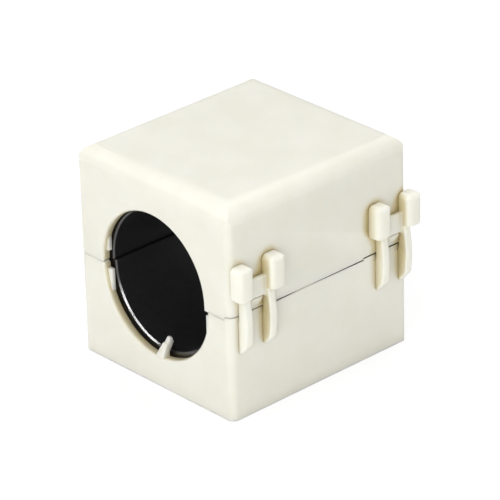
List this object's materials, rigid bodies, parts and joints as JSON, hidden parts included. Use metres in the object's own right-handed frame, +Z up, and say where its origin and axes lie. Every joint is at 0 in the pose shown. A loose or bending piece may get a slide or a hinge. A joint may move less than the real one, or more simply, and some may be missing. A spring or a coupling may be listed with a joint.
{
  "type": "clip-on ferrite bead",
  "caption": "Clip-on ferrite bead in an ivory plastic case: two ferrite half rings, a hinged lid and sprung H-shaped latches.",
  "frame": {"origin": "centre of the flat base of the lower shell", "axes": "+X from the hinge towards the latches, +Y along the cable passage, +Z up from the base"},
  "size_m": [0.0465, 0.0472, 0.0438],
  "materials": {
    "case_plastic": "fine satin moulding",
    "ferrite": "ground grey-black sintered ferrite"
  },
  "bodies": {
    "base": {"lower_shell": "case_plastic", "lower_core": "ferrite", "hinge_strap": "case_plastic"},
    "lid": {"upper_shell": "case_plastic", "upper_core": "ferrite"},
    "front_latch": {"front_latch": "case_plastic"},
    "rear_latch": {"rear_latch": "case_plastic"}
  },
  "joints": [
    {"name": "lid_hinge", "type": "hinge", "parent": "base", "child": "lid", "pos_m": [-0.022, 0, 0.021], "axis": [0, -1, 0], "range_deg": [0, 155], "deforming": ["hinge_strap"]},
    {"name": "front_latch_flex", "type": "hinge", "parent": "base", "child": "front_latch", "pos_m": [0.021, -0.0171, 0.0139], "axis": [0, 1, 0], "range_deg": [0, 9], "stiffness_Nm_per_rad": 0.6},
    {"name": "rear_latch_flex", "type": "hinge", "parent": "base", "child": "rear_latch", "pos_m": [0.021, 0.0184, 0.0139], "axis": [0, 1, 0], "range_deg": [0, 9], "stiffness_Nm_per_rad": 0.6}
  ]
}
